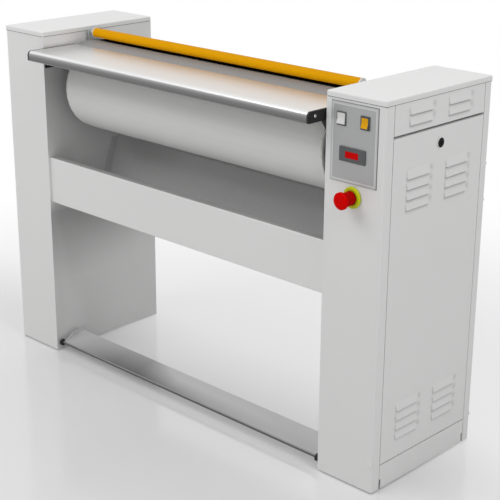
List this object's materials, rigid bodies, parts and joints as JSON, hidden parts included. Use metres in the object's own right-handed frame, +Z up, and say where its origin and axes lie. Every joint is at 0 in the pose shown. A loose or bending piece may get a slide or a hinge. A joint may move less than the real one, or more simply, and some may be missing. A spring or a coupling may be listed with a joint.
{
  "type": "flatwork ironer",
  "caption": "Floor-standing roller ironer for flat linen: padded roller, heated chest, feed table, finger guard, foot bar, tray and louvred end columns.",
  "frame": {"origin": "on the floor, below the centre of the machine's overall box", "axes": "+X along the roller towards the control column, +Y to the rear, +Z up; the operator stands at -Y"},
  "size_m": [1.5313, 0.517, 1.06],
  "materials": {
    "white_paint": "satin",
    "zinc_steel": "brushed",
    "table_steel": "brushed",
    "plate_aluminium": "satin",
    "cast_aluminium": "polished",
    "motor_iron": "rough",
    "black_plastic": "matte",
    "grey_plastic": "matte",
    "black_strip": "matte",
    "black_rubber": "matte",
    "yellow_paint": "gloss",
    "bright_steel": "polished",
    "bronze": "satin",
    "cotton": "matte",
    "felt": "matte",
    "mineral_wool": "matte",
    "collar_plastic": "gloss",
    "red_plastic": "gloss",
    "red_window": "gloss",
    "white_plastic": "gloss",
    "amber_plastic": "gloss"
  },
  "bodies": {
    "frame": {"right_wall": "white_paint", "left_wall": "white_paint", "right_front_skin": "white_paint", "left_front_skin": "white_paint", "right_rear_skin": "white_paint", "left_rear_skin": "white_paint", "right_cap": "white_paint", "left_cap": "white_paint", "right_upper_panel": "white_paint", "right_kick_panel": "white_paint", "left_side_panel": "white_paint", "right_base_frame": "zinc_steel", "left_base_frame": "zinc_steel", "levelling_feet": "black_plastic", "front_apron": "white_paint", "linen_tray": "white_paint", "rear_cover": "white_paint", "rear_tie_beam": "white_paint", "feed_table": "table_steel", "table_end_caps": "black_plastic", "feed_guide": "table_steel", "table_brackets": "black_plastic", "control_plate": "plate_aluminium", "white_rocker_frame": "grey_plastic", "amber_rocker_frame": "grey_plastic", "display_bezel": "grey_plastic", "display_window": "red_window", "estop_collar": "collar_plastic", "estop_contacts": "grey_plastic", "electrical_plate": "zinc_steel", "contactors": "grey_plastic", "cable_gland": "black_plastic", "door_pins": "bright_steel", "roller_bearings": "motor_iron", "pivot_bushes": "bronze", "gear_motor": "motor_iron", "drive_belt": "black_rubber", "chest_gear_motor": "motor_iron"},
    "roller": {"roller_tube": "zinc_steel", "roller_ends": "zinc_steel", "roller_padding": "felt", "roller_cover": "cotton", "roller_pulley": "motor_iron"},
    "motor_output": {"motor_pulley": "motor_iron"},
    "chest": {"chest_casting": "cast_aluminium", "chest_lip": "black_strip", "chest_heaters": "zinc_steel", "chest_insulation": "mineral_wool", "chest_box": "zinc_steel", "chest_cheeks": "zinc_steel", "chest_shaft": "bright_steel"},
    "guard": {"guard_bar": "yellow_paint", "guard_ends": "white_plastic"},
    "foot_bar": {"foot_bar": "table_steel", "foot_bushes": "black_rubber"},
    "white_rocker": {"white_rocker": "white_plastic"},
    "amber_rocker": {"amber_rocker": "amber_plastic"},
    "estop": {"estop_mushroom": "red_plastic"},
    "door": {"right_door": "white_paint"},
    "lock": {"door_lock": "black_plastic"}
  },
  "joints": [
    {"name": "motor_spin", "type": "hinge", "parent": "frame", "child": "motor_output", "pos_m": [-0.65, -0.0175, 0.56], "axis": [-1, 0, 0], "continuous": true},
    {"name": "roller_spin", "type": "hinge", "parent": "frame", "child": "roller", "pos_m": [0, -0.0175, 0.882], "axis": [-1, 0, 0], "continuous": true},
    {"name": "chest_open", "type": "hinge", "parent": "frame", "child": "chest", "pos_m": [0, 0.1175, 0.71], "axis": [-1, 0, 0], "range_deg": [0, 4]},
    {"name": "guard_push", "type": "slide", "parent": "chest", "child": "guard", "axis": [0, 1, 0], "range_m": [0, 0.006], "stiffness_N_per_m": 1500, "springref_m": -0.002},
    {"name": "foot_press", "type": "hinge", "parent": "frame", "child": "foot_bar", "pos_m": [0, -0.1275, 0.045], "axis": [1, 0, 0], "range_deg": [0, 10], "stiffness_Nm_per_rad": 5, "springref_deg": -11.46},
    {"name": "white_rocker_tip", "type": "hinge", "parent": "frame", "child": "white_rocker", "pos_m": [0.625, -0.1975, 0.997], "axis": [1, 0, 0], "range_deg": [0, 14]},
    {"name": "amber_rocker_tip", "type": "hinge", "parent": "frame", "child": "amber_rocker", "pos_m": [0.7, -0.1975, 0.997], "axis": [1, 0, 0], "range_deg": [0, 14]},
    {"name": "estop_press", "type": "slide", "parent": "frame", "child": "estop", "axis": [0, 1, 0], "range_m": [0, 0.005]},
    {"name": "door_tilt", "type": "hinge", "parent": "frame", "child": "door", "pos_m": [0.755, 0, 0.082], "axis": [0, 1, 0], "range_deg": [0, 25]},
    {"name": "lock_turn", "type": "hinge", "parent": "door", "child": "lock", "pos_m": [0.75, 0.0285, 0.92], "axis": [1, 0, 0], "range_deg": [0, 90]}
  ],
  "couplings": [
    {"joint": "roller_spin", "follows": "motor_spin", "ratio": 0.4}
  ]
}
